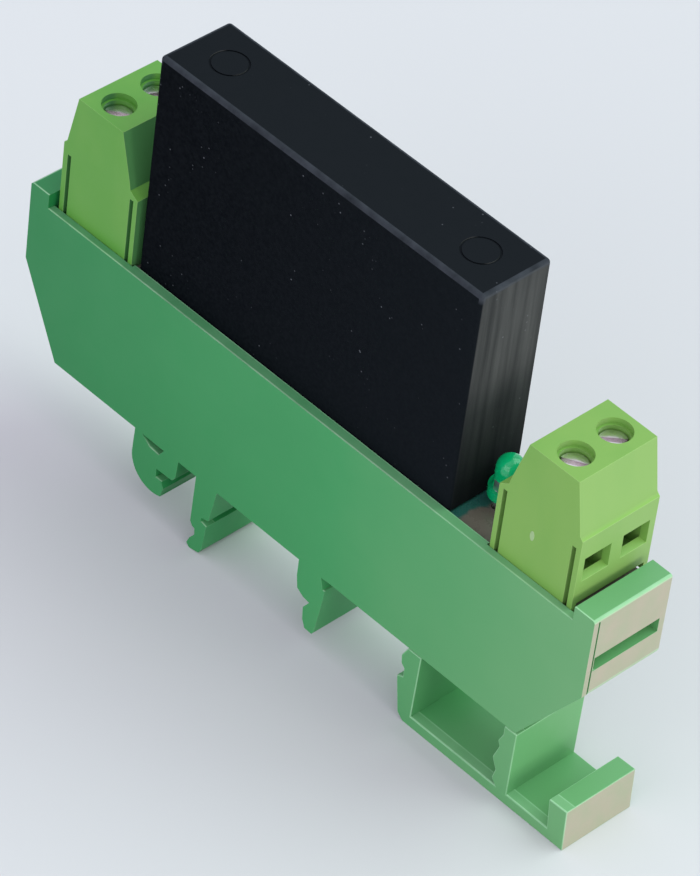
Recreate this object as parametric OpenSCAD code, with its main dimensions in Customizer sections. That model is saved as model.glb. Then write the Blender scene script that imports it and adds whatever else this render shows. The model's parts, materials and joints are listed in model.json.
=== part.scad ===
// Rail-mounted interface relay: a plastic tray with a foot for mounting rails carries a circuit board with an
// encapsulated solid-state relay, a status lamp and two two-pole screw terminal blocks.
// Millimetres, +Z up, +X towards the input terminals, -Y is the closed side of the tray.
// The origin is the centre of the bounding box on the surface that the foot stands on.

/* [Tray] */
// Length of the tray, end face to end face
tray_l = 78; // [76:0.5:84]
// Width of the tray floor and end bars
tray_w = 10.3; // [10:0.1:11]
// Height of the side wall's rim above the tray's underside
rim_h = 18.25; // [18:0.25:20]
// Height of the two end bars above the tray's underside
bar_h = 19.95; // [19.5:0.05:21]
// Thickness of an end bar along the length
bar_t = 2.6; // [2.4:0.1:3]
// Height at which the ends start to slope inwards
chamfer_h = 10.25; // [9:0.25:11]
// Thickness of the closed side wall
side_t = 0.85; // [0.7:0.05:0.85]
// Thickness of the floor
floor_t = 1.4; // [1.2:0.1:1.5]

/* [Foot] */
// Depth of the foot below the tray
foot_h = 9.5; // [9.5:0.1:10]
// Width of the foot
foot_w = 9.35; // [9:0.05:10]
// Depth of the rail flange's upper face below the tray
rail_z = 3; // [2.9:0.05:3.1]
// How far the sprung latch slides to let the rail go
latch_travel = 1.5; // [1:0.1:1.5]

/* [Board] */
// Height of the board's upper face above the tray's underside
board_top = 17.7; // [17:0.1:17.8]
// Thickness of the board
board_t = 1.6; // [1:0.2:1.6]

/* [Relay] */
// Length of the encapsulated relay
relay_l = 43.4; // [43:0.1:43.5]
// Width of the encapsulated relay at its top
relay_w = 8.95; // [8.8:0.05:9.2]
// Height of the relay's top above the tray's underside
relay_top = 44.3; // [42:0.1:46]
// Extra width of the relay case at its open lower edge
relay_draft = 0.3; // [0:0.1:0.4]

/* [Terminals] */
// Spacing of the two poles
pitch = 5.08; // [5:0.02:5.08]
// Height of a terminal block above the board
block_h = 15.3; // [15:0.1:17]
// Distance from the tray's middle to the input screws
input_x = 30.8; // [30.6:0.1:31]
// Distance from the tray's middle to the output screws
output_x = 31.35; // [31.3:0.05:31.5]
// Radius of a clamping screw's shank
screw_r = 1.1; // [1:0.05:1.15]

/* [Status lamp] */
// Distance from the tray's middle to the lamp
lamp_x = 20.8; // [20.7:0.1:21.5]
// Height of the lamp's flange above the board
lamp_lift = 1; // [1:0.1:2]

/* [Hidden] */
$fn = 48;
eps = 0.01;

// Tray
end_x = tray_l / 2;
floor_left = -33.65;
floor_right = 32;
bar_inner = end_x - bar_t;
shell_t = 1.3;
foot_end = end_x + 0.95;
slot_z = 14;
slot_h = 1.7;
slot_d = 1.6;
slot_y = [0.9, tray_w - 0.75];
gap_y = [0.62, 0.82];
gap_d = 0.35;
rib_t = 1;
rib_y = 2.2;
rib_places = [-24, -6, 11];
lip_x = [-24.9, 24.3];
lip_y = 1.2;

// Everything above the board stands on this centre line
block_y0 = 0.9;
row_y = block_y0 + pitch;
board_bottom = board_top - board_t;
board_end = bar_inner + 0.6;
board_w0 = side_t + 0.1;
board_w1 = tray_w - 0.05;
groove_d = 0.8;
groove_gap = 0.1;

// Latch
joint_gap = 0.15;
lug_t = 1;
lug_w = 4;
lug_gap = 0.15;
lug_head = 0.5;
lug_head_w = 6;
lug_head_t = 0.8;
lug_bridge_t = 1;
lug_overlap = 0.5;
wall_x = 31;
lug_places = [17.9, 27.9];
foot_mid = foot_w / 2;

// Relay
relay_x0 = -24.6;
relay_mid = relay_x0 + relay_l / 2;
relay_bottom = board_top + 0.3;
case_t = 1;
case_top_t = 1.2;
cavity_l = relay_l - 2 * case_t;
cavity_w = relay_w - 2 * case_t;
cavity_top = relay_top - case_top_t;
potting_recess = 0.3;
mark_inset = 4.8;
mark_r = 2;
mark_w = 0.22;
mark_d = 0.12;
substrate_t = 1;
substrate_l = 38;
substrate_z0 = relay_bottom + 3.2;
substrate_z1 = cavity_top - 2.4;
pin_pitches = [5.08, 15.24, 33.02, 38.1];
pin_x = [for (p = pin_pitches) relay_x0 + p];
pin_l = 0.8;
pin_t = 0.6;
pin_lap = 2.5;
pin_y = row_y - (substrate_t + pin_t) / 2;
tail_z = board_bottom - 1.5;
pin_hole_r = 0.6;
terminal_hole_r = 0.75;
lead_hole_r = 0.45;

// Solder joints and parts under the board
joint_h = 0.9;
joint_taper = 0.45;
pin_joint_r = 1.3;
terminal_joint_r = 1.5;
lead_joint_r = 0.95;
resistor_x = 17.2;
resistor_size = [3.2, 1.6, 0.6];

// Parts on the relay's upright substrate: distance along, height, size
transistor = [-13, 32, [6.6, 2.3, 9]];
optocoupler = [6, 31, [4.6, 2.2, 6.6]];
diode = [-4, 32, [3.6, 2.2, 5]];
chip_resistor = [-6, 33, [1.6, 0.6, 3.2]];
chip_spacing = 7;

// Lamp
lamp_z = board_top + lamp_lift;
lamp_y = row_y + 0.9;
lamp_r = 1.45;
lamp_flange_r = 1.9;
lamp_flange_t = 1;
lamp_dome_z = lamp_z + 3.25;
lead_pitch = 2.54;
lead_t = 0.5;
lead_top = lamp_z + 1;
cup_h = 1.2;
cup_l = 1;

// Terminal blocks, measured from the screw axis and the board
block_w = 2 * pitch;
front_x = 4.5;
back_x = -6.2;
crown_front = 2.95;
crown_back = -3.4;
undercut_d = 0.7;
undercut_h = 0.95;
undercut_w = 0.6;
well_l = 4.1;
well_w = 4;
well_top = 11.7;
rim_hole_r = 1.77;
rim_hole_d = 0.7;
seat_z = 12.7;
head_hole_r = 1.52;
head_r = 1.4;
seat_gap = 0.05;
head_h = 1.35;
shank_clear = 0.08;
thread_clear = 0.05;
driver_w = 0.6;
driver_d = 0.75;
slot_turn = [30, 45, 36, 65];
entry_z = 5.05;
entry_out = [3.5, 2.85];
entry_in = [3.1, 2.2];
entry_d = 0.8;
chamber = [3.2, 5];
cage_l = 3.8;
cage_w = 3.6;
cage_z = 3.1;
cage_floor_t = 0.8;
cage_window_w = 2.6;
cage_window_h = 3.6;
cage_crown_t = 1.8;
bar_z = 6.5;
bar_thick = 0.8;
bar_w = 2;
leg_x = -4.6;
bar_clear = 0.1;
bar_reach = 1.8;
leg_foot = 0.2;
tail_w = 1;
screw_tip = bar_z + bar_thick + bar_clear;
key_w = 0.5;
key_d = 0.8;
key_places = [[3.37, 7.8], [-5.63, 8.2]];

// Colours
dark_green = [0.22, 0.58, 0.34];
light_green = [0.48, 0.70, 0.32];
black = [0.08, 0.09, 0.10];
copper = [0.80, 0.55, 0.33];
steel = [0.72, 0.74, 0.75];
tin = [0.78, 0.79, 0.80];

// ---------- helpers ----------

// Moves the tray's own coordinates to the part's origin
module placed() {
    translate([-(foot_end - end_x) / 2, -(block_y0 + block_w) / 2, foot_h])
        children();
}

// Extrudes a side-view outline (x, z) across the width from y0 to y1
module across(y0, y1) {
    translate([0, y1, 0])
        rotate([90, 0, 0])
            linear_extrude(height = y1 - y0)
                children();
}

// Extrudes an end-view outline (y, z) along the length from x0 to x1
module along(x0, x1) {
    translate([x0, 0, 0])
        rotate([90, 0, 90])
            linear_extrude(height = x1 - x0)
                children();
}

// A box given by its two corners
module block(a, b) {
    translate(a)
        cube(b - a);
}

// x on the inner face of a sloping end, at height z, for a floor that ends at xb
function slope_x(z, xb) =
    xb + ((end_x - xb) * z - shell_t * norm([end_x - xb, chamfer_h])) / chamfer_h;

// z at which that inner face meets the end bar
function slope_z(xb) =
    (chamfer_h * (bar_inner - xb) + shell_t * norm([end_x - xb, chamfer_h])) / (end_x - xb);

module at_input() {
    translate([input_x, row_y, board_top])
        children();
}

module at_output() {
    translate([-output_x, row_y, board_top])
        rotate([0, 0, 180])
            children();
}

module each_pole() {
    for (side = [-1, 1])
        translate([0, side * pitch / 2, 0])
            children();
}

// ---------- tray ----------

module tray_outline() {
    polygon([
        [floor_left, 0], [floor_right, 0], [end_x, chamfer_h], [end_x, bar_h],
        [bar_inner, bar_h], [bar_inner, rim_h], [-bar_inner, rim_h],
        [-bar_inner, bar_h], [-end_x, bar_h], [-end_x, chamfer_h]
    ]);
}

module tray_inside() {
    polygon([
        [-slope_x(floor_t, -floor_left), floor_t], [slope_x(floor_t, floor_right), floor_t],
        [bar_inner, slope_z(floor_right)], [bar_inner, bar_h + 1],
        [-bar_inner, bar_h + 1], [-bar_inner, slope_z(-floor_left)]
    ]);
}

// Foot under the output end: hooks over the fixed edge of a wide rail
module hook_prong() {
    difference() {
        union() {
            polygon([
                [-21.55, 0.5], [-21.7, -3.1], [-17.2, -5.9], [-16.9, -4.9], [-17.3, -4.1],
                [-18.1, -4.1], [-18.1, -rail_z], [-15.8, -rail_z + 0.1], [-15.4, -2.3], [-15.2, 0.5]
            ]);
            intersection() {
                translate([-18.45, -3.1])
                    circle(r = 3.25);
                translate([-22, -7])
                    square([4.8, 3.9]);
            }
        }
        translate([-18.1, -4.1])
            square([3, 4.1 - rail_z]);
        polygon([[-20.5, -0.05], [-17.3, -0.05], [-18, -1.1], [-19.4, -0.95]]);
    }
}

// Foot that stands on the floor of a rail, grooved on its right for a narrow rail
module rest_prong() {
    polygon([
        [-12.6, 0.5], [-12.75, -6], [-12.4, -6.5], [-12.05, -6.6], [-12, -7.4], [-12.6, -8.2],
        [-12.95, -9.1], [-12.5, -foot_h], [-11.2, -foot_h + 0.25], [-10.8, -8.5], [-10.5, -5.3],
        [-11.3, -5.1], [-11.3, -4.6], [-10.3, -4.3], [-9.5, 0.5]
    ]);
}

// Foot that takes the other edge of a narrow rail
module catch_prong() {
    difference() {
        polygon([
            [2.2, 0.5], [2.2, -2.1], [2.45, -3.6], [3.35, -4.15], [4.25, -4.3], [3.5, -5.4],
            [3.6, -6.9], [4.05, -7.85], [5.05, -7.9], [5.3, -7.4], [5.95, -2.6], [6.1, 0.5]
        ]);
        polygon([[5.3, -0.05], [7, -0.05], [7, -1.45], [5.75, -1.45]]);
    }
}

module latch_slots() {
    for (x = lug_places)
        block([x - lug_gap, foot_mid - lug_w / 2 - lug_gap, -1],
              [x + lug_t + latch_travel + lug_gap, foot_mid + lug_w / 2 + lug_gap, floor_t + 1]);
}

module marker_slot() {
    block([end_x - slot_d, slot_y[0], slot_z - slot_h / 2],
          [end_x + 1, slot_y[1], slot_z + slot_h / 2]);
}

// Thin groove between the side wall's edge and the end bar
module shadow_gap() {
    block([end_x - gap_d, gap_y[0], chamfer_h - 1], [end_x + 1, gap_y[1], bar_h - gap_d]);
}

module housing_base() {
    color(dark_green) placed() {
        difference() {
            across(0, tray_w)
                tray_outline();
            across(side_t, tray_w + 1)
                tray_inside();
            latch_slots();
            for (turn = [0, 1])
                mirror([turn, 0, 0]) {
                    marker_slot();
                    shadow_gap();
                    block([bar_inner - 1, side_t, board_bottom - groove_gap],
                          [bar_inner + groove_d, tray_w + 1, board_top + groove_gap]);
                }
        }
        block([lip_x[0], side_t - 0.1, board_top + groove_gap], [lip_x[1], lip_y, rim_h]);
        for (x = rib_places)
            block([x, side_t - 0.1, floor_t - 0.1], [x + rib_t, rib_y, board_bottom - groove_gap]);
        across(0, foot_w) {
            hook_prong();
            rest_prong();
            catch_prong();
        }
    }
}

// ---------- latch ----------

module latch_outline() {
    top = -joint_gap;
    well = -8.2;
    polygon([
        [17.5, top], [16.8, -1.5], [16.9, -2.5], [17.35, 0.05 - rail_z], [17.35, -4.05],
        [16.6, -4.35], [16.7, -5.2], [17.3, -8.8], [18.1, -foot_h],
        [foot_end, -foot_h], [foot_end - 0.2, -4.45], [37.4, -4.55], [37.7, well],
        [32.2, well], [32.25, top], [30.65, top], [30.65, -1.3], [30.15, -2.4],
        [30.4, -3.1], [29.8, -4.9], [30.4, -6.2], [30.1, -7.5], [30.7, well],
        [19.05, well], [19.3, top]
    ]);
}

module rail_latch() {
    y0 = foot_mid - lug_w / 2;
    y1 = foot_mid + lug_w / 2;
    color(dark_green) placed() {
        across(0, foot_w)
            latch_outline();
        block([lug_places[1] - 0.2, y0, -lug_bridge_t - joint_gap], [wall_x, y1, -joint_gap]);
        for (x = lug_places) {
            block([x, y0, -lug_overlap], [x + lug_t, y1, floor_t + lug_overlap]);
            block([x - lug_head, foot_mid - lug_head_w / 2, floor_t + joint_gap],
                  [x + lug_t + lug_head, foot_mid + lug_head_w / 2, floor_t + joint_gap + lug_head_t]);
        }
    }
}

// ---------- board ----------

module pin_holes() {
    for (x = pin_x)
        translate([x, pin_y, board_bottom - 1])
            cylinder(r = pin_hole_r, h = board_t + 2);
    at_input() each_pole() terminal_pin_hole();
    at_output() each_pole() terminal_pin_hole();
    for (side = [-1, 1])
        translate([lamp_x, lamp_y + side * lead_pitch / 2, board_bottom - 1])
            cylinder(r = lead_hole_r, h = board_t + 2);
}

module terminal_pin_hole() {
    translate([leg_x + bar_thick / 2, 0, -board_t - 1])
        cylinder(r = terminal_hole_r, h = board_t + 2);
}

module circuit_board() {
    color([0.16, 0.30, 0.26]) placed()
        difference() {
            block([-board_end, board_w0, board_bottom], [board_end, board_w1, board_top]);
            pin_holes();
        }
}

// A soldered joint under the board, from the board's upper face: a cone that wets the pin
module joint_cone(r) {
    translate([0, 0, -board_t - joint_h])
        cylinder(r1 = r * joint_taper, r2 = r, h = joint_h);
}

module terminal_joint() {
    translate([leg_x + bar_thick / 2, 0, 0])
        joint_cone(terminal_joint_r);
}

module solder_joints() {
    color(tin) placed()
        difference() {
            union() {
                for (x = pin_x)
                    translate([x, pin_y, board_top])
                        joint_cone(pin_joint_r);
                at_input() each_pole() terminal_joint();
                at_output() each_pole() terminal_joint();
                for (side = [-1, 1])
                    translate([lamp_x, lamp_y + side * lead_pitch / 2, board_top])
                        joint_cone(lead_joint_r);
            }
            relay_pin_shapes();
            lead_shapes();
            at_input() each_pole() contact_tail();
            at_output() each_pole() contact_tail();
        }
}

module led_resistor() {
    color([0.12, 0.12, 0.13]) placed()
        translate([resistor_x, row_y, board_bottom])
            translate([-resistor_size[0] / 2, -resistor_size[1] / 2, -resistor_size[2]])
                cube(resistor_size);
}

// ---------- encapsulated relay ----------

module relay_cavity(bottom) {
    block([relay_mid - cavity_l / 2, row_y - cavity_w / 2, bottom],
          [relay_mid + cavity_l / 2, row_y + cavity_w / 2, cavity_top]);
}

module relay_case() {
    half_top = relay_w / 2;
    half_foot = relay_w / 2 + relay_draft / 2;
    color(black) placed()
        difference() {
            along(relay_x0, relay_x0 + relay_l)
                polygon([
                    [row_y - half_foot, relay_bottom], [row_y + half_foot, relay_bottom],
                    [row_y + half_top, relay_top], [row_y - half_top, relay_top]
                ]);
            relay_cavity(relay_bottom - 1);
            for (side = [-1, 1])
                translate([relay_mid + side * (relay_l / 2 - mark_inset), row_y, relay_top - mark_d])
                    difference() {
                        cylinder(r = mark_r, h = 1);
                        translate([0, 0, -1])
                            cylinder(r = mark_r - mark_w, h = 3);
                    }
        }
}

module substrate_shape() {
    block([relay_mid - substrate_l / 2, row_y - substrate_t / 2, substrate_z0],
          [relay_mid + substrate_l / 2, row_y + substrate_t / 2, substrate_z1]);
}

// A part (distance along, height, size) soldered on the front (-1) or back (1) of the upright substrate
module on_substrate(part, side) {
    size = part[2];
    y = row_y + side * (substrate_t + size[1]) / 2;
    translate([part[0] - size[0] / 2, y - size[1] / 2, part[1] - size[2] / 2])
        cube(size);
}

module transistor_shape() { on_substrate(transistor, -1); }
module optocoupler_shape() { on_substrate(optocoupler, -1); }
module diode_shape() { on_substrate(diode, -1); }
module resistor_shapes() {
    for (i = [0:2])
        translate([i * chip_spacing, 0, 0])
            on_substrate(chip_resistor, 1);
}

module relay_pin_shapes() {
    for (x = pin_x)
        block([x - pin_l / 2, pin_y - pin_t / 2, tail_z],
              [x + pin_l / 2, pin_y + pin_t / 2, substrate_z0 + pin_lap]);
}

module relay_potting() {
    color([0.11, 0.11, 0.12]) placed()
        difference() {
            relay_cavity(relay_bottom + potting_recess);
            substrate_shape();
            transistor_shape();
            optocoupler_shape();
            diode_shape();
            resistor_shapes();
            relay_pin_shapes();
        }
}

module relay_substrate() { color([0.85, 0.85, 0.80]) placed() substrate_shape(); }
module relay_transistor() { color([0.15, 0.15, 0.16]) placed() transistor_shape(); }
module relay_optocoupler() { color([0.92, 0.92, 0.88]) placed() optocoupler_shape(); }
module relay_diode() { color([0.14, 0.14, 0.15]) placed() diode_shape(); }
module relay_resistors() { color([0.10, 0.10, 0.11]) placed() resistor_shapes(); }
module relay_pins() { color(tin) placed() relay_pin_shapes(); }

// ---------- status lamp ----------

module lead_shapes() {
    for (side = [-1, 1])
        block([lamp_x - lead_t / 2, lamp_y + side * lead_pitch / 2 - lead_t / 2, tail_z],
              [lamp_x + lead_t / 2, lamp_y + side * lead_pitch / 2 + lead_t / 2, lead_top]);
    // cup on one lead, blade on the other, inside the lens
    block([lamp_x - cup_l / 2, lamp_y - lead_pitch / 2 - 0.2, lead_top],
          [lamp_x + cup_l / 2, lamp_y + lead_t / 2, lead_top + cup_h]);
    block([lamp_x - lead_t / 2, lamp_y + lead_pitch / 4, lead_top],
          [lamp_x + lead_t / 2, lamp_y + lead_pitch / 2, lead_top + cup_h]);
}

module led_lens() {
    color([0.10, 0.65, 0.35]) placed()
        difference() {
            translate([lamp_x, lamp_y, 0])
                rotate_extrude()
                    union() {
                        translate([0, lamp_z])
                            square([lamp_flange_r, lamp_flange_t]);
                        translate([0, lamp_z])
                            square([lamp_r, lamp_dome_z - lamp_z]);
                        intersection() {
                            translate([0, lamp_dome_z])
                                circle(r = lamp_r);
                            translate([0, lamp_dome_z - eps])
                                square([lamp_r, lamp_r + 1]);
                        }
                    }
            lead_shapes();
        }
}

module led_leadframe() { color(tin) placed() lead_shapes(); }

// ---------- terminal blocks ----------

module terminal_outline() {
    polygon([
        [back_x, 0], [front_x, 0], [front_x, 9], [front_x - 0.4, 9.4],
        [crown_front, block_h], [crown_back, block_h], [-4.95, 9.9], [-5.1, 9.2], [back_x, 8.5]
    ]);
}

// Square funnel that leads a wire into the clamp
module wire_entry() {
    grow = 1;
    slope_w = (entry_out[0] - entry_in[0]) / 2 / entry_d;
    slope_h = (entry_out[1] - entry_in[1]) / 2 / entry_d;
    intersection() {
        translate([0, 0, entry_z - 3])
            linear_extrude(height = 6)
                polygon([
                    [front_x - entry_d, -entry_in[0] / 2],
                    [front_x + grow, -entry_out[0] / 2 - grow * slope_w],
                    [front_x + grow, entry_out[0] / 2 + grow * slope_w],
                    [front_x - entry_d, entry_in[0] / 2]
                ]);
        translate([0, 0, entry_z])
            across(-3, 3)
                polygon([
                    [front_x - entry_d, -entry_in[1] / 2],
                    [front_x + grow, -entry_out[1] / 2 - grow * slope_h],
                    [front_x + grow, entry_out[1] / 2 + grow * slope_h],
                    [front_x - entry_d, entry_in[1] / 2]
                ]);
    }
    block([0, -chamber[0] / 2, entry_z - chamber[1] / 2],
          [front_x - entry_d + eps, chamber[0] / 2, entry_z + chamber[1] / 2]);
}

module pole_cuts() {
    block([-well_l / 2, -well_w / 2, -1], [well_l / 2, well_w / 2, well_top]);
    cylinder(r = screw_r + shank_clear, h = block_h);
    translate([0, 0, seat_z])
        cylinder(r = head_hole_r, h = block_h);
    translate([0, 0, block_h - rim_hole_d])
        cylinder(r = rim_hole_r, h = block_h);
    wire_entry();
    block([leg_x - bar_clear, -bar_w / 2 - bar_clear, -1],
          [leg_x + bar_thick + bar_clear, bar_w / 2 + bar_clear, bar_z + bar_thick + bar_clear]);
    block([leg_x, -bar_w / 2 - bar_clear, bar_z - bar_clear],
          [0, bar_w / 2 + bar_clear, bar_z + bar_thick + bar_clear]);
}

// Shallow keyways in both side faces, front and back, where blocks join in rows
module keyways() {
    for (side = [-1, 1])
        for (key = key_places)
            translate([key[0], side * pitch - key_d, -1])
                cube([key_w, 2 * key_d, key[1] + 1]);
}

module terminal_body() {
    difference() {
        across(-pitch, pitch)
            terminal_outline();
        block([front_x - undercut_d, undercut_w - pitch, -1], [front_x + 1, pitch - undercut_w, undercut_h]);
        each_pole() pole_cuts();
        keyways();
    }
}

module contact_tail() {
    block([leg_x, -tail_w / 2, tail_z - board_top], [leg_x + bar_thick, tail_w / 2, leg_foot + 0.1]);
}

module contact_bar() {
    block([leg_x, -bar_w / 2, bar_z], [bar_reach, bar_w / 2, bar_z + bar_thick]);
    block([leg_x, -bar_w / 2, leg_foot], [leg_x + bar_thick, bar_w / 2, bar_z + 0.1]);
    contact_tail();
}

module clamp_cage() {
    z1 = cage_z + cage_floor_t;
    z2 = z1 + cage_window_h;
    difference() {
        block([-cage_l / 2, -cage_w / 2, cage_z], [cage_l / 2, cage_w / 2, z2 + cage_crown_t]);
        block([-cage_l, -cage_window_w / 2, z1], [cage_l, cage_window_w / 2, z2]);
        translate([0, 0, z2 - 1])
            cylinder(r = screw_r + thread_clear, h = cage_crown_t + 2);
    }
}

// Slotted cheese-head screw; turn is the angle of its slot
module clamp_screw(turn) {
    head_z = seat_z + seat_gap;
    difference() {
        union() {
            translate([0, 0, screw_tip])
                cylinder(r = screw_r, h = head_z - screw_tip + 0.1);
            translate([0, 0, head_z])
                cylinder(r = head_r, h = head_h);
        }
        rotate([0, 0, turn])
            block([-3, -driver_w / 2, head_z + head_h - driver_d], [3, driver_w / 2, head_z + head_h + 1]);
    }
}

module pole(side) {
    translate([0, side * pitch / 2, 0])
        children();
}

module input_terminal_body() { color(light_green) placed() at_input() terminal_body(); }
module output_terminal_body() { color(light_green) placed() at_output() terminal_body(); }
module input_contact_bars() { color(copper) placed() at_input() each_pole() contact_bar(); }
module output_contact_bars() { color(copper) placed() at_output() each_pole() contact_bar(); }
module input_screw_near() { color(steel) placed() at_input() pole(-1) clamp_screw(slot_turn[0]); }
module input_screw_far() { color(steel) placed() at_input() pole(1) clamp_screw(slot_turn[1]); }
module output_screw_near() { color(steel) placed() at_output() pole(1) clamp_screw(slot_turn[2]); }
module output_screw_far() { color(steel) placed() at_output() pole(-1) clamp_screw(slot_turn[3]); }
module input_cage_near() { color(tin) placed() at_input() pole(-1) clamp_cage(); }
module input_cage_far() { color(tin) placed() at_input() pole(1) clamp_cage(); }
module output_cage_near() { color(tin) placed() at_output() pole(1) clamp_cage(); }
module output_cage_far() { color(tin) placed() at_output() pole(-1) clamp_cage(); }

housing_base();
rail_latch();
circuit_board();
solder_joints();
relay_case();
relay_potting();
relay_substrate();
relay_transistor();
relay_optocoupler();
relay_diode();
relay_resistors();
relay_pins();
led_lens();
led_leadframe();
led_resistor();
input_terminal_body();
output_terminal_body();
input_contact_bars();
output_contact_bars();
input_screw_near();
input_screw_far();
output_screw_near();
output_screw_far();
input_cage_near();
input_cage_far();
output_cage_near();
output_cage_far();
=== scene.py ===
"""Looks of the rail-mounted interface relay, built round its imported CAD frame. Lengths are in metres."""
import json
import math

import bmesh
import bpy
from mathutils import Matrix, Vector


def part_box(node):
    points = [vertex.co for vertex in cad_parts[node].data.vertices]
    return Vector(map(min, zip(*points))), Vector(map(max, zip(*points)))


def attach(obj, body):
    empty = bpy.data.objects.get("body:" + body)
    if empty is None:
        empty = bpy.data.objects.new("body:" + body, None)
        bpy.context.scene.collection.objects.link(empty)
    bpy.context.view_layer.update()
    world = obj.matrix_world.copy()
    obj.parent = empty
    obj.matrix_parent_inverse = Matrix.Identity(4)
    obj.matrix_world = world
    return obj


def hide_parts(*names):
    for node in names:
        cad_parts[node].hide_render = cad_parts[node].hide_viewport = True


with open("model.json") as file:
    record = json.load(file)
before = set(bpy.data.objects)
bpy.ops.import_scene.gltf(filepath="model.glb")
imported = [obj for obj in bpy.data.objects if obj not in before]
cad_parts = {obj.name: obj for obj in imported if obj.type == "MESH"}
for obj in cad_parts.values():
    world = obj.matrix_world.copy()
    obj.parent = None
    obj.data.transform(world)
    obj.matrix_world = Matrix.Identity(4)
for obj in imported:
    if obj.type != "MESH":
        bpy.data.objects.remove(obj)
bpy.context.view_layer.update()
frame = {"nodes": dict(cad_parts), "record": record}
NODES = frame["nodes"]
BODY_OF = {n: b for b, members in frame["record"]["behaviour"]["bodies"].items() for n in members}
SLOT_OF = {s["node"]: s["material_slot"] for s in frame["record"]["subparts"]}
MM = 0.001

# ---------------------------------------------------------------- camera and stage

AIM = Vector((1.29, 0.0, 22.04)) * MM
CAMERA_AZIMUTH = math.radians(41.21)
CAMERA_ELEVATION = math.radians(41.91)
CAMERA_ROLL = math.radians(7.76)
CAMERA_DISTANCE = 0.52066
CAMERA_LENS = 223.32
FLOOR_HALF = 2.5
LIGHTS_AIM = (0, 0, 20 * MM)


def make_camera():
    """Places the camera at the angles, roll and distance above, looking at AIM."""
    data = bpy.data.cameras.new("view")
    data.lens = CAMERA_LENS
    data.sensor_width = 36.0
    data.clip_start, data.clip_end = 0.01, 20.0
    camera = bpy.data.objects.new("view", data)
    bpy.context.scene.collection.objects.link(camera)
    around, above = CAMERA_AZIMUTH, CAMERA_ELEVATION
    back = Vector((math.sin(around) * math.cos(above), -math.cos(around) * math.cos(above), math.sin(above)))
    right = Vector((math.cos(around), math.sin(around), 0.0))
    up = back.cross(right)
    cosine, sine = math.cos(CAMERA_ROLL), math.sin(CAMERA_ROLL)
    x_axis, y_axis = cosine * right + sine * up, cosine * up - sine * right
    turn = Matrix((x_axis, y_axis, back)).transposed().to_4x4()
    camera.matrix_world = Matrix.Translation(AIM + CAMERA_DISTANCE * back) @ turn
    bpy.context.scene.camera = camera


def area_light(name, place, size, power, colour):
    data = bpy.data.lights.new(name, "AREA")
    data.shape = "RECTANGLE"
    data.size, data.size_y = size
    data.energy = power
    data.color = colour
    lamp = bpy.data.objects.new(name, data)
    bpy.context.scene.collection.objects.link(lamp)
    lamp.location = place
    lamp.rotation_mode = "QUATERNION"
    lamp.rotation_quaternion = (Vector(LIGHTS_AIM) - Vector(place)).to_track_quat("-Z", "Y")


def make_stage():
    """A pale floor under soft light: lavender surround, cool key from above, warm side light, front fill."""
    scene = bpy.context.scene
    scene.view_settings.view_transform = "Standard"
    scene.view_settings.look = "None"
    world = bpy.data.worlds.new("studio")
    scene.world = world
    world.use_nodes = True
    background = world.node_tree.nodes["Background"]
    background.inputs["Color"].default_value = (0.87, 0.83, 1.0, 1.0)
    background.inputs["Strength"].default_value = 0.95
    mesh = bpy.data.meshes.new("floor")
    corners = [(FLOOR_HALF * x, FLOOR_HALF * y, 0) for x, y in ((-1, -1), (1, -1), (1, 1), (-1, 1))]
    mesh.from_pydata(corners, [], [(0, 1, 2, 3)])
    floor = bpy.data.objects.new("floor", mesh)
    scene.collection.objects.link(floor)
    paper = Material("floor_paper")
    paper.vary("Base Color", paper.noise(3.0), (0.63, 0.635, 0.635), (0.66, 0.665, 0.665))
    paper.fix("Roughness", 0.9)
    paper.fix("Specular IOR Level", 0.1)
    mesh.materials.append(paper.material)
    area_light("key", (0.35, 0.55, 0.85), (0.9, 0.9), 5.6, (0.70, 1.0, 0.80))
    area_light("side", (0.80, 0.05, 0.22), (0.45, 0.3), 2.6, (1.0, 0.93, 0.88))
    area_light("fill", (0.20, -1.00, 0.45), (1.0, 0.7), 2.8, (0.92, 1.0, 0.94))


# ---------------------------------------------------------------- material helpers

# Most of a noise lies between these two values.
NOISE_LOW, NOISE_HIGH = 0.3, 0.7
# A surface starts and ends to count as facing an axis at these components of its normal.
FACING = (0.8, 0.95)
# Sockets of the Mix node when it mixes colours.
MIX_FACTOR, MIX_FIRST, MIX_SECOND, MIX_RESULT = 0, 6, 7, 2


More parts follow.
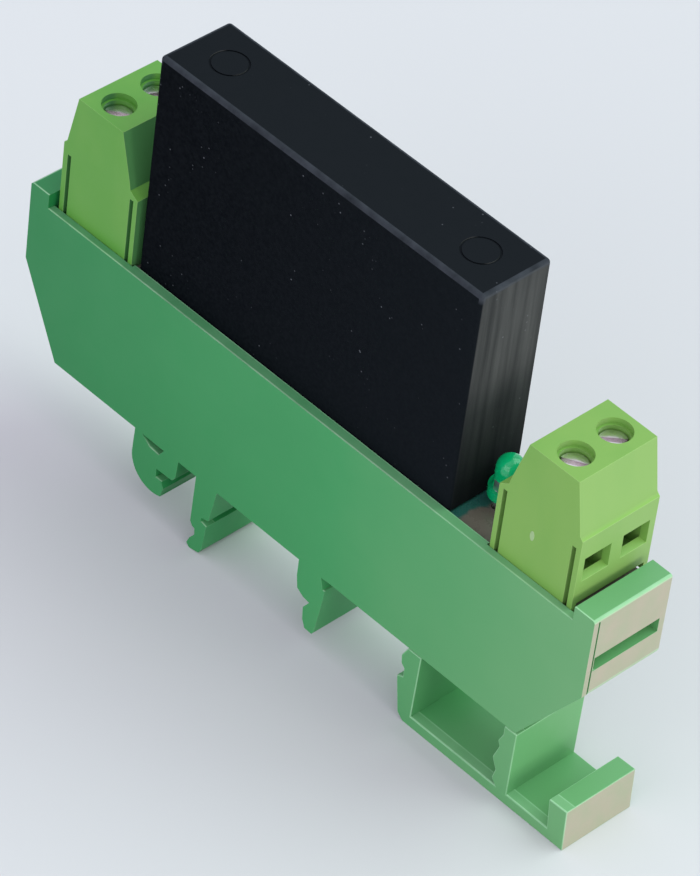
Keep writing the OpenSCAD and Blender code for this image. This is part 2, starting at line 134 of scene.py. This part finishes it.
class Material:
    """A node material, with its Principled shader and object coordinates at hand."""

    def __init__(self, name):
        self.material = bpy.data.materials.new(name)
        self.material.use_nodes = True
        self.tree = self.material.node_tree
        self.shader = self.tree.nodes["Principled BSDF"]
        coordinates = self.tree.nodes.new("ShaderNodeTexCoord")
        self.place, self.normal = coordinates.outputs["Object"], coordinates.outputs["Normal"]

    def node(self, kind, **inputs):
        made = self.tree.nodes.new(kind)
        for name, value in inputs.items():
            made.inputs[name.replace("_", " ")].default_value = value
        return made

    def link(self, source, target):
        self.tree.links.new(source, target)

    def feed(self, socket, source):
        self.link(source, self.shader.inputs[socket])

    def fix(self, socket, value):
        self.shader.inputs[socket].default_value = value

    def noise(self, scale, detail=3.0, stretch=(1, 1, 1)):
        mapping = self.node("ShaderNodeMapping", Scale=stretch)
        self.link(self.place, mapping.inputs["Vector"])
        made = self.node("ShaderNodeTexNoise", Scale=scale, Detail=detail)
        self.link(mapping.outputs["Vector"], made.inputs["Vector"])
        return made.outputs["Fac"]

    def ramp(self, source, low, high, out_low=0.0, out_high=1.0):
        """Maps low..high to out_low..out_high, held flat outside."""
        made = self.node("ShaderNodeMapRange", From_Min=low, From_Max=high, To_Min=out_low, To_Max=out_high)
        self.link(source, made.inputs["Value"])
        return made.outputs["Result"]

    def spread(self, noise, out_low=0.0, out_high=1.0):
        """Stretches the usual range of a noise to out_low..out_high."""
        return self.ramp(noise, NOISE_LOW, NOISE_HIGH, out_low, out_high)

    def math(self, operation, first, second=None):
        made = self.tree.nodes.new("ShaderNodeMath")
        made.operation = operation
        for socket, value in zip(made.inputs, (first, second)):
            if isinstance(value, (int, float)):
                socket.default_value = value
            elif value is not None:
                self.link(value, socket)
        return made.outputs["Value"]

    def times(self, first, second):
        return self.math("MULTIPLY", first, second)

    def axis(self, vector, name):
        made = self.tree.nodes.new("ShaderNodeSeparateXYZ")
        self.link(vector, made.inputs["Vector"])
        return made.outputs[name]

    def attribute(self, name):
        made = self.tree.nodes.new("ShaderNodeAttribute")
        made.attribute_name = name
        return made.outputs["Fac"]

    def blend(self, factor, first, second):
        made = self.tree.nodes.new("ShaderNodeMix")
        made.data_type = "RGBA"
        for index, value in ((MIX_FIRST, first), (MIX_SECOND, second)):
            if isinstance(value, tuple):
                made.inputs[index].default_value = (*value, 1.0)
            else:
                self.link(value, made.inputs[index])
        self.link(factor, made.inputs[MIX_FACTOR])
        return made.outputs[MIX_RESULT]

    def vary(self, socket, factor, first, second):
        self.feed(socket, self.blend(self.spread(factor), first, second))

    def gloss(self, scale, low, high):
        self.feed("Roughness", self.spread(self.noise(scale, 4.0), low, high))

    def bump(self, height, distance):
        made = self.node("ShaderNodeBump", Distance=distance)
        self.link(height, made.inputs["Height"])
        self.feed("Normal", made.outputs["Normal"])


def facing(mat, axis):
    """1 where the surface faces along plus or minus the axis."""
    return mat.ramp(mat.math("ABSOLUTE", mat.axis(mat.normal, axis)), *FACING)


def painted_rim_highlights(mat):
    """Painted highlights: pale lines on the tray's top faces, along its outer edge and the inner edge of the
    lip on the rim.

    They are colour, not shape. The lip is 1.2 mm wide and its top is 27.75 mm up; the end bars stand higher.
    """
    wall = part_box("housing_base")[0][1]
    y = mat.axis(mat.place, "Y")
    outer = mat.ramp(y, wall + 0.20 * MM, wall + 0.12 * MM)
    below_bars = mat.ramp(mat.axis(mat.place, "Z"), 28.1 * MM, 27.9 * MM)
    lip = mat.times(mat.ramp(y, wall + 1.24 * MM, wall + 1.21 * MM), below_bars)
    inner = mat.times(mat.ramp(y, wall + 1.06 * MM, wall + 1.12 * MM, 0.32, 0.75), lip)
    lines = mat.times(mat.math("ADD", outer, inner), facing(mat, "Z"))
    return mat.times(lines, mat.spread(mat.noise(300.0, 3.0), 0.45, 0.85))


def tray_green():
    """Satin dark green; painted light makes it paler towards the input end, a painted chalky sheen lies on
    the end faces, and painted highlights lie on the edges.
    """
    shaded_output_end, middle, lit_input_end = (0.014, 0.215, 0.056), (0.044, 0.315, 0.096), (0.140, 0.385, 0.150)
    # Painted sheen for the end faces and painted highlight for the edges.
    painted_end_sheen, painted_edge_highlight = (0.40, 0.36, 0.27), (0.38, 0.68, 0.40)
    mat = Material("tray_green")
    x = mat.axis(mat.place, "X")
    # Painted light: the green is paler towards the input end, as if lit from that side, and darker towards
    # the output end.
    shifted = mat.math("ADD", x, mat.spread(mat.noise(60.0), -4 * MM, 4 * MM))
    first_half = mat.blend(mat.ramp(shifted, -40 * MM, 4 * MM), shaded_output_end, middle)
    body = mat.blend(mat.ramp(shifted, 4 * MM, 36 * MM), first_half, lit_input_end)
    # Painted sheen: a pale chalky tone on the faces at the tray's ends stands in for light glancing off them.
    end_sheen_mask = mat.times(facing(mat, "X"), mat.ramp(mat.math("ABSOLUTE", x), 38.0 * MM, 38.4 * MM))
    mottled = mat.spread(mat.noise(420.0, 5.0), 0.75, 0.95)
    ends = mat.blend(mat.times(end_sheen_mask, mottled), body, painted_end_sheen)
    # Painted highlights on the rounded edges and along the rim lines.
    rounded = mat.times(mat.attribute("edge"), mat.spread(mat.noise(240.0, 2.0), 0.30, 0.62))
    mat.feed("Base Color", mat.blend(mat.math("MAXIMUM", rounded, painted_rim_highlights(mat)), ends, painted_edge_highlight))
    mat.gloss(260.0, 0.34, 0.46)
    mat.fix("Specular IOR Level", 0.35)
    mat.bump(mat.noise(7000.0, 2.0), 0.004 * MM)
    return mat.material


def terminal_green():
    """Smooth light green with faint flow marks; painted light makes it paler and yellower at the input end,
    and paler on the end faces, with painted highlights on the edges.

    The output block's face towards the relay is duller, as in shade.
    """
    # Painted light: the input end's tone is the lit one, the output end's tone the shaded one.
    shaded_output_end, lit_input_end = (0.112, 0.335, 0.050), (0.205, 0.410, 0.082)
    painted_lit_end_face, shade, painted_edge_highlight = (0.24, 0.36, 0.14), (0.050, 0.210, 0.070), (0.46, 0.66, 0.28)
    mat = Material("terminal_green")
    flow = mat.spread(mat.noise(180.0, 3.0, (1.0, 1.0, 0.35)), -0.2, 0.2)
    x = mat.axis(mat.place, "X")
    along = mat.math("ADD", mat.ramp(x, -30 * MM, 30 * MM), flow)
    body = mat.blend(along, shaded_output_end, lit_input_end)
    # Painted light: faces that look towards either end of the tray are paler and less saturated, as if lit
    # from the side.
    ended = mat.blend(mat.times(facing(mat, "X"), 0.35), body, painted_lit_end_face)
    facing_relay = mat.times(mat.ramp(mat.axis(mat.normal, "X"), *FACING), mat.ramp(x, -20 * MM, -22 * MM))
    shaded = mat.blend(mat.times(facing_relay, 0.8), ended, shade)
    # Painted highlight on the rounded edges.
    mat.feed("Base Color", mat.blend(mat.times(mat.attribute("edge"), 0.22), shaded, painted_edge_highlight))
    mat.gloss(300.0, 0.36, 0.48)
    mat.fix("Specular IOR Level", 0.3)
    mat.bump(mat.noise(6000.0, 2.0), 0.003 * MM)
    return mat.material


def case_black():
    """Black case: fine matt texture, faint streaks on the ends and a few pale specks; painted light makes the
    top, the input end and the end faces paler, painted shade darkens the end faces low down, and painted
    highlights line the top edges.

    The refractive index is low because a matt black would otherwise still reflect at grazing angles.
    """
    dark, light = (0.0024, 0.0034, 0.0048), (0.0054, 0.0070, 0.0088)
    lit_input_end, lit_top_face = (0.0095, 0.0125, 0.0150), (0.0105, 0.0132, 0.0155)
    end_dark, painted_end_light = (0.008, 0.010, 0.011), (0.072, 0.076, 0.074)
    painted_edge_highlight, dust_grey = (0.052, 0.060, 0.070), (0.24, 0.26, 0.28)
    mat = Material("case_black")
    z = mat.axis(mat.place, "Z")
    body = mat.blend(mat.spread(mat.noise(2600.0, 3.0)), dark, light)
    # Painted light: the case is paler towards the input end and on its top.
    towards_input = mat.ramp(mat.axis(mat.place, "X"), -20 * MM, 20 * MM, 0.0, 0.60)
    sided = mat.blend(towards_input, body, lit_input_end)
    topped = mat.blend(facing(mat, "Z"), sided, lit_top_face)
    # The end faces carry real streaks; painted light makes them pale and painted shade darkens them towards
    # the bottom.
    streaks = mat.ramp(mat.noise(900.0, 4.0, (1.0, 1.0, 0.05)), 0.32, 0.68, 0.40, 1.0)
    higher = mat.ramp(z, 30 * MM, 44 * MM, 0.10, 1.0)
    end_tone = mat.blend(mat.times(streaks, higher), end_dark, painted_end_light)
    ended = mat.blend(facing(mat, "X"), topped, end_tone)
    # Painted highlights on the rounded top edges.
    top_edges = mat.times(mat.attribute("edge"), mat.ramp(z, 52.7 * MM, 53.3 * MM))
    top_edge_highlight = mat.times(top_edges, mat.spread(mat.noise(500.0, 4.0), 0.35, 0.90))
    edged = mat.blend(top_edge_highlight, ended, painted_edge_highlight)
    specks = mat.node("ShaderNodeTexVoronoi", Scale=1500.0)
    mat.link(mat.place, specks.inputs["Vector"])
    patches = mat.ramp(mat.noise(420.0, 2.0), 0.60, 0.68, 0.0, 0.4)
    dust = mat.times(mat.ramp(specks.outputs["Distance"], 0.16, 0.08), patches)
    mat.feed("Base Color", mat.blend(dust, edged, dust_grey))
    mat.gloss(700.0, 0.55, 0.70)
    mat.fix("IOR", 1.06)
    mat.bump(mat.noise(4200.0, 3.0), 0.010 * MM)
    return mat.material


def plain_plastic(name, deep, pale, roughness, specular=0.4):
    """Plastic, resin or ceramic between two close tones."""
    mat = Material(name)
    mat.vary("Base Color", mat.noise(500.0, 3.0), deep, pale)
    mat.gloss(900.0, roughness - 0.05, roughness + 0.07)
    mat.fix("Specular IOR Level", specular)
    mat.bump(mat.noise(9000.0, 2.0), 0.002 * MM)
    return mat.material


def metal(name, dark, bright, low, high, grain=(1, 1, 1)):
    """Bare metal between two close tones, its roughness from low to high along the grain."""
    mat = Material(name)
    mat.fix("Metallic", 1.0)
    mat.vary("Base Color", mat.noise(600.0, 3.0), dark, bright)
    mat.feed("Roughness", mat.spread(mat.noise(900.0, 3.0, grain), low, high))
    mat.bump(mat.noise(2500.0, 2.0, grain), 0.001 * MM)
    return mat.material


def lamp_epoxy():
    """Tinted clear epoxy, clouded a little by diffusing powder."""
    mat = Material("lamp_epoxy")
    mat.vary("Base Color", mat.noise(900.0, 2.0), (0.0, 0.52, 0.17), (0.01, 0.62, 0.24))
    mat.fix("Transmission Weight", 0.18)
    mat.fix("IOR", 1.52)
    mat.gloss(800.0, 0.03, 0.07)
    return mat.material


def board_laminate():
    """Board with a glass weave: teal, with brown-grey patches and input side, and painted shade in a dark
    strip by the closed wall.
    """
    teal, brown = (0.022, 0.130, 0.105), (0.17, 0.145, 0.115)
    fibre_grey, dark = (0.20, 0.24, 0.20), (0.006, 0.016, 0.014)
    mat = Material("board_laminate")
    drift = mat.spread(mat.noise(400.0, 2.0), -0.8 * MM, 0.8 * MM)
    input_side = mat.ramp(mat.math("ADD", mat.axis(mat.place, "X"), drift), 19.2 * MM, 19.8 * MM)
    patches = mat.math("MAXIMUM", mat.ramp(mat.noise(170.0, 2.0), 0.44, 0.52), input_side)
    tone = mat.blend(patches, teal, brown)
    weave = mat.node("ShaderNodeTexChecker", Scale=5200.0)
    mat.link(mat.place, weave.inputs["Vector"])
    woven = mat.blend(mat.times(weave.outputs["Fac"], 0.07), tone, fibre_grey)
    # Painted shade: a dark strip by the closed wall, where the gap under the relay lies in shadow.
    painted_shade_margin = mat.ramp(mat.axis(mat.place, "Y"), -4.05 * MM, -4.15 * MM)
    mat.feed("Base Color", mat.blend(painted_shade_margin, woven, dark))
    mat.gloss(600.0, 0.22, 0.36)
    mat.bump(mat.noise(3000.0, 2.0), 0.003 * MM)
    return mat.material


# ---------------------------------------------------------------- mesh helpers

# The least angle between two faces whose shared edge gets rounded.
SHARP = math.radians(32.0)
# An edge runs along an axis if its direction's component on that axis is larger than this.
ALONG = 0.9
NEAR = 0.1 * MM


def add_piece(bm, name, body, material, smooth=40.0):
    """Turns a bmesh into a piece on a body, smooth except at edges sharper than the given angle."""
    limit = math.radians(smooth)
    for face in bm.faces:
        face.smooth = True
    for edge in bm.edges:
        edge.smooth = len(edge.link_faces) == 2 and edge.calc_face_angle(0.0) < limit
    mesh = bpy.data.meshes.new(name)
    bm.to_mesh(mesh)
    bm.free()
    mesh.materials.append(material)
    piece = bpy.data.objects.new(name, mesh)
    bpy.context.scene.collection.objects.link(piece)
    even = piece.modifiers.new("even_shading", "WEIGHTED_NORMAL")
    even.keep_sharp = True
    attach(piece, body)
    return piece


def round_edges(bm, radius, segments, chosen):
    """Rounds the sharp edges that chosen picks, and marks the new faces in the face layer edge.

    The smallest feature among them limits them all, so the result can be far finer than the radius.
    """
    sharp = [e for e in bm.edges if len(e.link_faces) == 2 and e.calc_face_angle(0.0) > SHARP]
    picked = [e for e in sharp if e.calc_length() > 2 * radius and chosen(e)]
    made = bmesh.ops.bevel(bm, geom=picked, offset=radius, segments=segments, profile=0.5, affect="EDGES",
                           clamp_overlap=True)
    layer = bm.faces.layers.float["edge"]
    for face in made["faces"]:
        face[layer] = 1.0


def moulded(node, name, passes):
    """A copy of a CAD node with rounded edges. It stands for the node and rides on its body.

    Each pass is a radius, a number of segments and a function that picks the edges.
    """
    bm = bmesh.new()
    bm.from_mesh(NODES[node].data)
    bm.faces.layers.float.new("edge")
    bmesh.ops.remove_doubles(bm, verts=bm.verts, dist=0.0005 * MM)
    bmesh.ops.dissolve_limit(bm, angle_limit=math.radians(0.5), verts=bm.verts, edges=bm.edges)
    for radius, segments, chosen in passes:
        round_edges(bm, radius, segments, chosen)
    piece = add_piece(bm, name, BODY_OF[node], MATERIALS[SLOT_OF[node]])
    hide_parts(node)


def spot(edge):
    """The edge's middle."""
    return (edge.verts[0].co + edge.verts[1].co) / 2


def run(edge):
    """The edge's direction."""
    return (edge.verts[1].co - edge.verts[0].co).normalized()


def convex(edge):
    return edge.is_convex


# ---------------------------------------------------------------- materials

MATERIALS = {
    "tray_plastic": tray_green(),
    "terminal_plastic": terminal_green(),
    "case_plastic": case_black(),
    "potting_resin": plain_plastic("potting_resin", (0.008, 0.008, 0.009), (0.014, 0.014, 0.015), 0.22),
    "board_laminate": board_laminate(),
    "solder": metal("solder", (0.66, 0.67, 0.68), (0.82, 0.83, 0.84), 0.14, 0.26),
    "ceramic": plain_plastic("ceramic", (0.60, 0.60, 0.55), (0.68, 0.68, 0.64), 0.45),
    "chip_plastic": plain_plastic("chip_plastic", (0.012, 0.012, 0.013), (0.020, 0.020, 0.022), 0.45),
    "coupler_plastic": plain_plastic("coupler_plastic", (0.60, 0.60, 0.56), (0.70, 0.70, 0.66), 0.40),
    "tinned_metal": metal("tinned", (0.60, 0.61, 0.62), (0.78, 0.78, 0.78), 0.24, 0.40),
    "screw_steel": metal("screw_steel", (0.78, 0.73, 0.74), (0.95, 0.90, 0.91), 0.16, 0.24, (1, 6, 1)),
    "contact_metal": metal("contact_metal", (0.58, 0.52, 0.40), (0.74, 0.68, 0.56), 0.26, 0.40),
    "lamp_lens": lamp_epoxy(),
}
GATE_SCAR = plain_plastic("gate_scar", (0.28, 0.46, 0.18), (0.38, 0.54, 0.27), 0.50, 0.3)
for node_name, node_object in NODES.items():
    for material_slot in node_object.material_slots:
        material_slot.material = MATERIALS[SLOT_OF[node_name]]

make_camera()
make_stage()

# ---------------------------------------------------------------- pieces

TRAY_LOW, TRAY_HIGH = (Vector(c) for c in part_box("housing_base"))
TRAY_MIDDLE = (TRAY_LOW.x + TRAY_HIGH.x) / 2
END_FACE_HEIGHT = 9.7 * MM
CASE_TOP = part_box("relay_case")[1][2]

# The gate mark: its middle from the input block's low corner, its half sizes, and its rings from the outside
# inwards, each with its share of those sizes and how far it stands out of the face. All in millimetres.
MARK_X, MARK_Z = 4.8, 5.4
MARK_HALF_WIDTH, MARK_HALF_HEIGHT = 0.28, 0.60
MARK_RINGS = ((1.0, -0.02), (0.97, 0.03), (0.80, 0.05), (0.68, 0.02), (0.35, 0.015))
MARK_SIDES = 32


def bar_edge(edge):
    """The top and bottom edges of the tray's end faces.

    In the finished mesh three of the four are rounded: the output end's bottom edge isn't.
    """
    place = spot(edge)
    across = abs(run(edge).y) > ALONG and edge.calc_length() > 8 * MM
    at_top = place.z > TRAY_HIGH.z - NEAR
    at_bottom = abs(place.z - TRAY_HIGH.z + END_FACE_HEIGHT) < NEAR
    return convex(edge) and across and (at_top or at_bottom) and abs(place.x - TRAY_MIDDLE) > 38 * MM


def case_edge(edge):
    """The relay case's upright corners and the edges round its top."""
    upright = abs(run(edge).z) > ALONG and edge.calc_length() > 25 * MM and convex(edge)
    at_top = spot(edge).z > CASE_TOP - NEAR / 2 and edge.calc_length() > 7 * MM
    return upright or at_top


def gate_mark():
    """The pale oval scar where the input block's mould was filled: a shallow dish with a raised rim."""
    node = "input_terminal_body"
    corner = Vector(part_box(node)[0])
    middle = Vector((corner.x + MARK_X * MM, corner.y, corner.z + MARK_Z * MM))
    bm = bmesh.new()
    rings = []
    for reach, height in MARK_RINGS:
        ring = []
        for step in range(MARK_SIDES):
            turn = 2 * math.pi * step / MARK_SIDES
            across = MARK_HALF_WIDTH * reach * math.cos(turn)
            up = MARK_HALF_HEIGHT * reach * math.sin(turn)
            ring.append(bm.verts.new(middle + Vector((across, -height, up)) * MM))
        rings.append(ring)
    for outer, inner in zip(rings, rings[1:]):
        for step in range(MARK_SIDES):
            following = (step + 1) % MARK_SIDES
            bm.faces.new((outer[step], outer[following], inner[following], inner[step]))
    bm.faces.new(rings[-1])
    bm.faces.new(reversed(rings[0]))
    add_piece(bm, "gate_mark", BODY_OF[node], GATE_SCAR, 60.0)


# Only the bars and the relay keep their full radius. Measured on the finished meshes, the rest of the tray
# comes out at about 0.01 mm, the foot at 0.10 mm and the blocks at 0.03 mm.
moulded("housing_base", "tray", [(0.30 * MM, 4, bar_edge), (0.12 * MM, 2, convex)])
moulded("rail_latch", "sprung_foot", [(0.16 * MM, 2, convex)])
moulded("relay_case", "relay_shell", [(0.45 * MM, 5, case_edge)])
for end in ("input", "output"):
    moulded(f"{end}_terminal_body", f"{end}_block", [(0.14 * MM, 3, convex)])
gate_mark()
